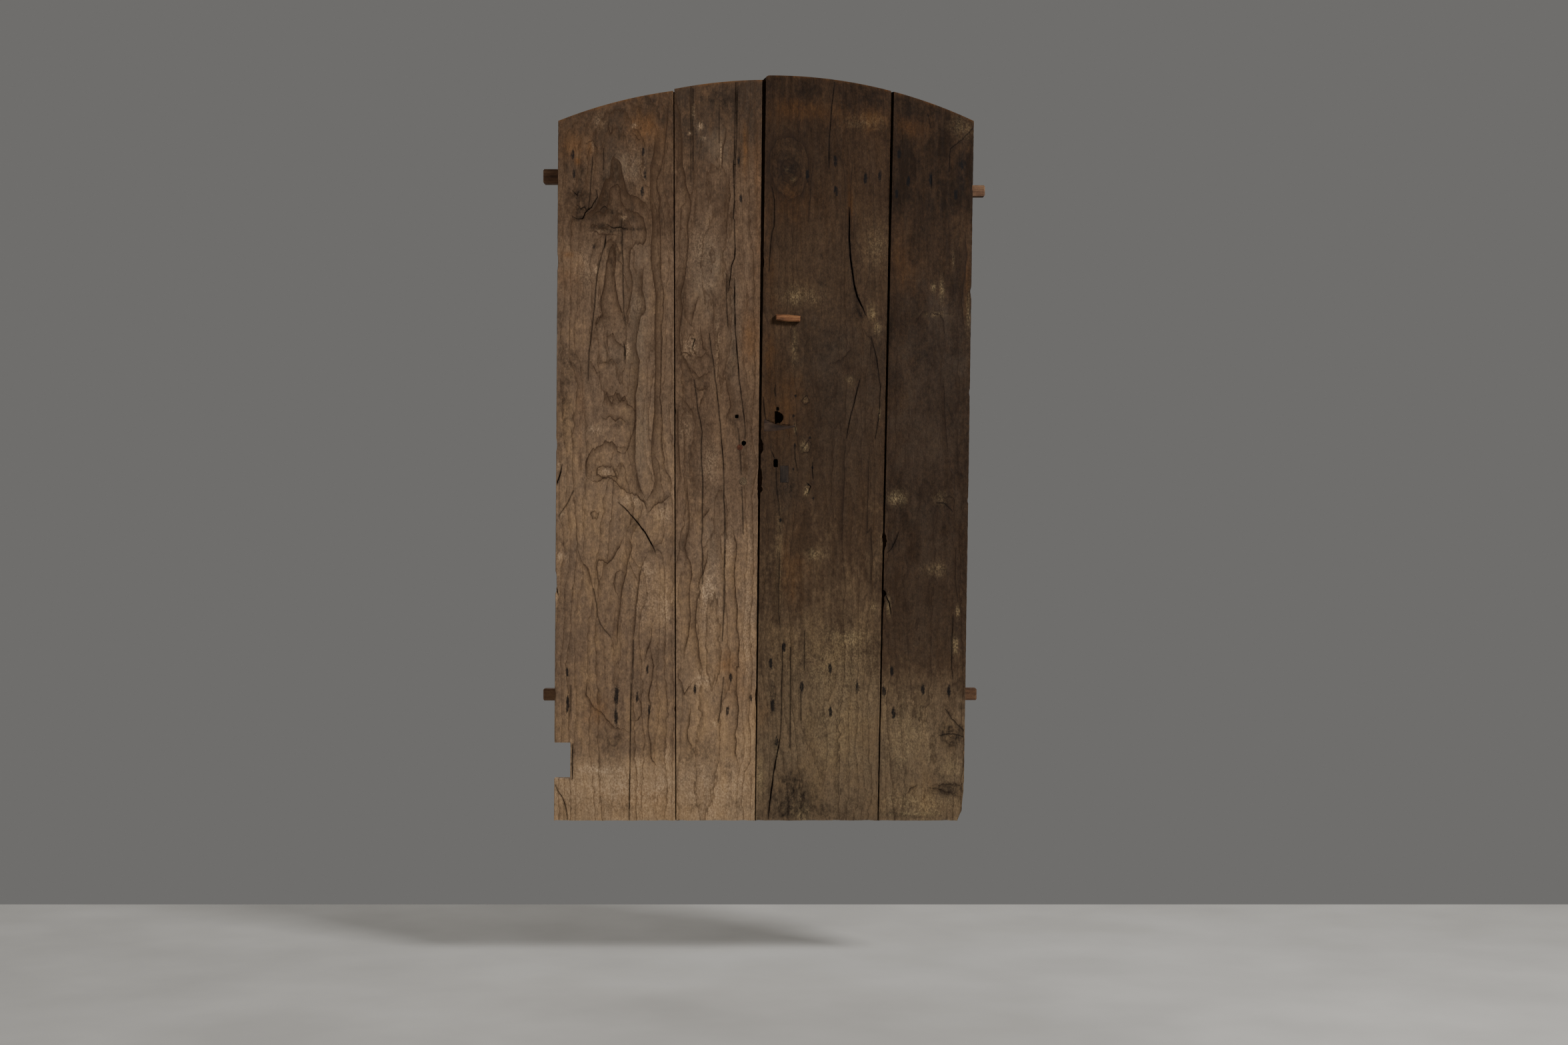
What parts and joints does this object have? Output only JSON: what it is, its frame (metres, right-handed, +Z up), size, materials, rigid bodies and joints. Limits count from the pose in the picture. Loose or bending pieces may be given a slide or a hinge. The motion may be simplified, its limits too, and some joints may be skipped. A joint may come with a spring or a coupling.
{
  "type": "arched plank door leaf pair",
  "caption": "Pair of old arched plank door leaves that hang flat on a wall, with ledges and stub tenons at the back, a wooden turn latch and a wooden stock lock.",
  "frame": {"origin": "on the floor line of the leaves' foot, half way between the outermost stub ends and half way through the depth from the latch button's face to the wall plane", "axes": "+X to the right as seen from the front, +Y from the front face to the wall, +Z up"},
  "size_m": [1.196, 0.1, 2.002],
  "materials": {
    "left_leaf_oak": "old weathered oak, dry and matt",
    "right_leaf_oak": "old oak, darkened by soot and handling",
    "ledge_oak": "riven oak, brown, dry",
    "latch_wood": "orange-brown hardwood, handled smooth",
    "lock_wood": "hewn hardwood, dull",
    "peg_wood": "end grain, dull",
    "plug_wood": "reddish end grain",
    "patch_wood": "let-in oak repair, dull",
    "forged_iron": "hand-forged iron, black with rust"
  },
  "bodies": {
    "leaves": {"left_outer_plank": "left_leaf_oak", "left_inner_plank": "left_leaf_oak", "right_inner_plank": "right_leaf_oak", "right_outer_plank": "right_leaf_oak", "left_upper_ledge": "ledge_oak", "left_lower_ledge": "ledge_oak", "right_upper_ledge": "ledge_oak", "right_lower_ledge": "ledge_oak", "left_upper_nails": "forged_iron", "left_lower_nails": "forged_iron", "right_upper_nails": "forged_iron", "right_lower_nails": "forged_iron", "left_peg": "peg_wood", "left_plug": "plug_wood", "keyhole_patch": "patch_wood", "slot_patch": "patch_wood", "latch_keeper": "lock_wood", "latch_keeper_nails": "forged_iron", "lock_case": "lock_wood", "lock_spring": "forged_iron", "lock_nails": "forged_iron", "lock_keeper": "lock_wood", "lock_keeper_nails": "forged_iron"},
    "latch": {"latch_toggle": "latch_wood", "latch_bar": "latch_wood", "latch_pin": "latch_wood"},
    "bolt": {"lock_bolt": "forged_iron"}
  },
  "joints": [
    {"name": "latch_turn", "type": "hinge", "parent": "leaves", "child": "latch", "pos_m": [0.06478, 0, 1.349], "axis": [0, 1, 0], "range_deg": [0, 90]},
    {"name": "bolt_slide", "type": "slide", "parent": "leaves", "child": "bolt", "axis": [-1, 0, 0], "range_m": [0, 0.038]}
  ]
}
